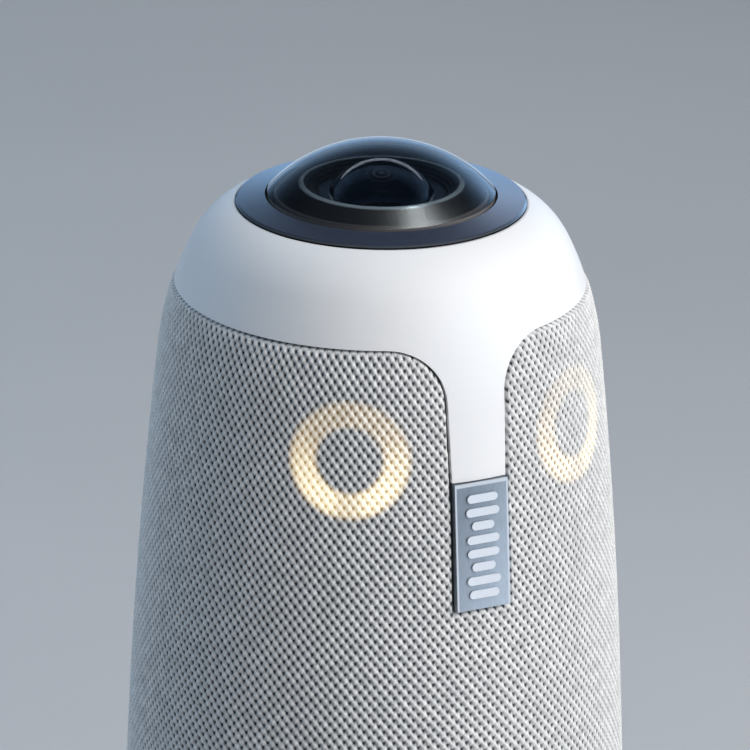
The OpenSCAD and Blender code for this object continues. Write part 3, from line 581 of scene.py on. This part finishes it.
def fisheye_finish():
    """Tinted glass; faint rings near the middle of its hollow back are painted on as a glow, standing in for
    the edges of the lenses below.
    """
    f = Finish("fisheye_glass", 0.0, Transmission_Weight=1.0, IOR=1.7)
    radius = f.radius()
    below = f.math("LESS_THAN", f.axis("Z"), FISHEYE_BASE + 1.6 * MM)
    waves = f.math("SINE", f.math("MULTIPLY", radius, 2 * math.pi / (0.9 * MM)))
    edge = f.span(waves, 0.3, 0.9, smooth=True)
    middle = f.span(radius, 0.5 * MM, 3.2 * MM, 1, 0, smooth=True)
    rings = f.math("MULTIPLY", f.math("MULTIPLY", edge, middle), below)
    f.paint(Base_Color=f.mix(f.clouds(60), (0.24, 0.26, 0.29), (0.28, 0.30, 0.34)))
    # Painted glow: faint rings in the middle of the back, standing in for the lens edges below.
    f.paint(Emission_Color=f.mix(middle, (0.16, 0.22, 0.30), (0.40, 0.42, 0.38)))
    f.paint(Emission_Strength=f.math("MULTIPLY", rings, 0.35))
    return f.material


def ring_finish():
    """Satin black with a faint turned grain on top, a paler edge painted as a highlight, and a rougher side
    painted near-black as shade.
    """
    f = Finish("ring_satin", 0.3, Specular_IOR_Level=0.15, Coat_Roughness=0.22, Coat_IOR=1.9)
    radius = f.radius()
    side = f.span(radius, RING_R - 0.12 * MM, RING_R - 0.05 * MM)
    edge = f.span(radius, RING_R - 0.42 * MM, RING_R - 0.3 * MM)
    turned = f.noise(1, 2, place=f.stretched((900, 900, 900)))
    top = f.mix(f.span(turned, 0.3, 0.7), (0.030, 0.038, 0.060), (0.036, 0.045, 0.068))
    # Paler outer edge: a painted highlight.
    painted_reflection = f.mix(edge, top, (0.055, 0.065, 0.075))
    # Near-black side: painted shade.
    f.paint(Base_Color=f.mix(side, painted_reflection, (0.003, 0.003, 0.004)))
    f.paint(Roughness=f.span(side, 0, 1, 0.28, 0.75), Coat_Weight=f.span(side, 0, 1, 0.72, 0))
    f.bump(turned, 0.006 * MM, 0.5)
    return f.material


finishes = {
    "white_plastic": grained("white_plastic", (0.80, 0.81, 0.82), 0.42, spread=0.012),
    "brushed_tag": tag_finish(),
    "dome_glass": dome_finish(),
    "lens_glass": lens_finish(),
    "fisheye_glass": fisheye_finish(),
    "sensor_glass": grained("sensor_glass", (0.02, 0.03, 0.08), 0.1, Coat_Weight=1.0),
    "shroud_gloss": shroud_finish(),
    "lens_black": grained("lens_black", (0.006, 0.006, 0.007), 0.55),
    "ring_satin": ring_finish(),
    "black_plastic": grained("black_plastic", (0.02, 0.02, 0.023), 0.6, grain=2000, depth=0.03 * MM),
    "grey_plastic": grained("grey_plastic", (0.10, 0.105, 0.11), 0.6),
    "key_plastic": grained("key_plastic", (0.62, 0.64, 0.66), 0.45, spread=0.02),
    "black_rubber": grained("black_rubber", (0.014, 0.014, 0.015), 0.85, grain=1600, depth=0.03 * MM),
    "cone_paper": grained("cone_paper", (0.02, 0.02, 0.021), 0.8, grain=1200, depth=0.05 * MM),
    "eye_glow": glowing("eye_glow", (1.0, 0.84, 0.56), 1.5),
    "led_lens": glowing("led_lens", (1.0, 0.85, 0.45), 3.0),
    "circuit_board": board_finish(),
    "chip_plastic": grained("chip_plastic", (0.025, 0.025, 0.026), 0.5),
    "flex_polyimide": grained("flex_polyimide", (0.45, 0.22, 0.04), 0.3, depth=0.005 * MM),
    "cable_jacket": grained("cable_jacket", (0.015, 0.015, 0.016), 0.55),
    "screw_steel": brushed("screw_steel", (0.55, 0.55, 0.57), 0.3),
    "socket_steel": brushed("socket_steel", (0.60, 0.61, 0.62), 0.25),
    "heat_sink_aluminium": brushed("heat_sink_aluminium", (0.32, 0.33, 0.35), 0.4, "z"),
    "brass": brushed("brass", (0.70, 0.50, 0.20), 0.28),
}

for part in frame["record"]["subparts"]:
    if part["material_slot"] in finishes:
        data = nodes[part["node"]].data
        for i in range(len(data.materials)):
            data.materials[i] = finishes[part["material_slot"]]


def key_finish(name, azimuth):
    """Pale moulded key whose raised symbol is printed dark."""
    f = Finish(name, 0.45)
    radius, _ = outline(np.array([KEY_Z]))
    proud = f.along(f.place, direction(azimuth, 0))
    face = float(radius[0]) + KEY_PROUD
    symbol = f.span(proud, face + 0.05 * MM, face + 0.12 * MM)
    body = f.mix(f.clouds(40, 4), (0.60, 0.62, 0.64), (0.64, 0.66, 0.68))
    f.paint(Base_Color=f.mix(symbol, body, (0.10, 0.11, 0.12)))
    f.paint(Roughness=f.span(f.noise(160, 3), 0.3, 0.7, 0.38, 0.52))
    f.bump(f.noise(3600, 2), 0.02 * MM, 0.6)
    return f.material


for i, key in enumerate(("volume_down_key", "volume_up_key", "mute_key", "pair_key")):
    nodes[key].data.materials[0] = key_finish(key, (i - 1.5) * KEY_TURN)


def inner_lens_finish():
    """Dark coated lens with faint pale rings painted on it as a reflection of the edges stacked below it."""
    f = Finish("inner_lens", 0.22, Coat_Weight=0.5, Coat_Roughness=0.15)
    radius = f.radius()
    waves = f.math("SINE", f.math("MULTIPLY", radius, 2 * math.pi / (1.1 * MM)))
    edge = f.span(waves, 0.55, 0.95, smooth=True)
    middle = f.span(radius, 0.9 * MM, 4.2 * MM, 1, 0.15)
    # Painted reflection: pale rings of the lens edges below, on the dark lens.
    f.paint(Base_Color=f.mix(f.math("MULTIPLY", edge, middle), (0.006, 0.008, 0.011), (0.24, 0.26, 0.25)))
    return f.material


retaining = grained("retaining_ring", (0.30, 0.33, 0.36), 0.25, metallic=1.0)
nodes["lens_retaining_ring"].data.materials[0] = retaining
nodes["second_lens_element"].data.materials[0] = inner_lens_finish()

# ---------------------------------------------------------------- floor and light

FLOOR_HALF = 15.0
LIGHTS_AIM = Vector((0, 0, 0.2))
AMBIENT = (0.020, 0.026, 0.034)
BACKGROUND = (0.40, 0.41, 0.42)
MIRRORED_DARK = (0.004, 0.006, 0.009)
COOL_BAND = (0.62, 1.05, 1.68)
WARM_BAND = (0.30, 0.12, 0.07)
LEFT_LOSS = 0.65


def add_floor():
    """Pale matt floor that runs out of sight."""
    f = Finish("floor", 0.8)
    f.paint(Base_Color=f.mix(f.clouds(3, 4), (0.56, 0.57, 0.58), (0.60, 0.61, 0.62)))
    f.bump(f.noise(700, 2), 0.05 * MM, 0.3)
    corners = [(-1, -1), (1, -1), (1, 1), (-1, 1)]
    mesh = bpy.data.meshes.new("floor")
    mesh.from_pydata([(x * FLOOR_HALF, y * FLOOR_HALF, 0) for x, y in corners], [], [(0, 1, 2, 3)])
    floor = add_piece(mesh, f.material)


def add_light(name, azimuth, elevation, distance, size, power, tint, only=()):
    """Soft box that faces the camera head, azimuth and elevation in degrees; not seen in mirror-like
    surfaces. only names the nodes that it lights, through the glass in front of them; reflections show it."""
    back = direction(math.radians(azimuth), math.radians(elevation))
    data = bpy.data.lights.new(name, "AREA")
    data.shape = "ELLIPSE" if only else "RECTANGLE"
    data.size, data.size_y = size
    data.energy = power
    data.color = tint
    light = bpy.data.objects.new(name, data)
    light.location = LIGHTS_AIM + back * distance
    light.rotation_mode = "QUATERNION"
    light.rotation_quaternion = (-back).to_track_quat("-Z", "Y")
    light.visible_camera = False
    light.visible_glossy = bool(only)
    light.visible_transmission = False
    bpy.context.collection.objects.link(light)
    if only:
        lit = bpy.data.collections.new(name)
        for node in only:
            lit.objects.link(nodes[node])
        light.light_linking.receiver_collection = lit
        light.light_linking.blocker_collection = lit


def add_world():
    """Dim studio, dark above: a bluish band low behind the object and on both sides, weaker on the viewer's
    left and doubled on the right, and a warm one near the floor on the right."""
    world = bpy.data.worlds.new("studio")
    world.use_nodes = True
    w = Nodes(world.node_tree)
    sky = w.make("ShaderNodeTexCoord").outputs["Generated"]
    rays = w.make("ShaderNodeLightPath")
    right = w.along(sky, direction(VIEW_AZIMUTH + math.pi / 2, 0))
    behind = w.along(sky, -direction(VIEW_AZIMUTH, 0))
    height = w.along(sky, Vector((0, 0, 1)))

    low_band = w.math("SUBTRACT", 1.0, w.span(height, 0.0, 0.6, smooth=True))
    sides = w.math("MAXIMUM", w.math("ABSOLUTE", right), behind)
    cool = w.math("MULTIPLY", low_band, w.span(sides, 0.1, 0.95, smooth=True))
    not_left = w.math("MULTIPLY", LEFT_LOSS, w.span(right, -0.55, -0.1, smooth=True))
    weaker = w.math("MULTIPLY", cool, w.math("ADD", 1 - LEFT_LOSS, not_left))
    doubled = w.math("ADD", weaker, w.math("MULTIPLY", weaker, w.span(right, 0.12, 0.6, smooth=True)))
    near_floor = w.math("SUBTRACT", 1.0, w.span(height, -0.1, 0.15, smooth=True))
    warm = w.math("MULTIPLY", near_floor, w.span(right, 0.2, 0.95, smooth=True))

    cool_light = w.vector("MULTIPLY", doubled, COOL_BAND)
    warm_light = w.vector("MULTIPLY", warm, WARM_BAND)
    mirrored = w.vector("ADD", w.vector("ADD", cool_light, warm_light), MIRRORED_DARK)
    unseen = w.mix(rays.outputs["Is Glossy Ray"], AMBIENT, mirrored)
    seen = w.mix(rays.outputs["Is Camera Ray"], unseen, BACKGROUND)
    w.feed(w.tree.nodes["Background"].inputs["Color"], seen)
    bpy.context.scene.world = world


add_floor()
add_world()
add_light("key", 37, 34, 1.3, (1.0, 1.0), 22.1, (1.0, 0.985, 0.985))
add_light("rim", -132, 25, 1.6, (1.0, 1.0), 8.6, (0.73, 0.97, 1.25))
add_light("above", -35, 70, 1.4, (0.8, 0.8), 2.2, (0.90, 0.98, 1.06))
add_light("back", 165, 30, 1.8, (1.2, 1.2), 4.0, (0.95, 0.98, 1.02))
add_light("ring_glow", 137, 24, 1.2, (0.6, 0.4), 0.42, (0.85, 1.0, 1.35), only=("trim_ring",))
add_light("dome_edge", 154, -4, 0.6, (1.6, 0.22), 0.8, (0.62, 0.85, 1.15), only=("lens_dome",))
add_light("accent", 86, 68, 1.2, (0.3, 0.3), 7.0, (0.97, 1.0, 0.98),
          only=("lens_shroud", "lens_retaining_ring", "second_lens_element", "aperture_ring"))
add_light("glint", 154, 20, 1.2, (1.6, 0.35), 4.5, (0.80, 0.92, 1.1), only=("fisheye_element",))
add_light("lip", -118, 45, 1.2, (0.7, 0.7), 1.5, (0.55, 0.80, 1.2),
          only=("lens_shroud", "lens_retaining_ring"))

bpy.context.scene.view_settings.view_transform = "Standard"
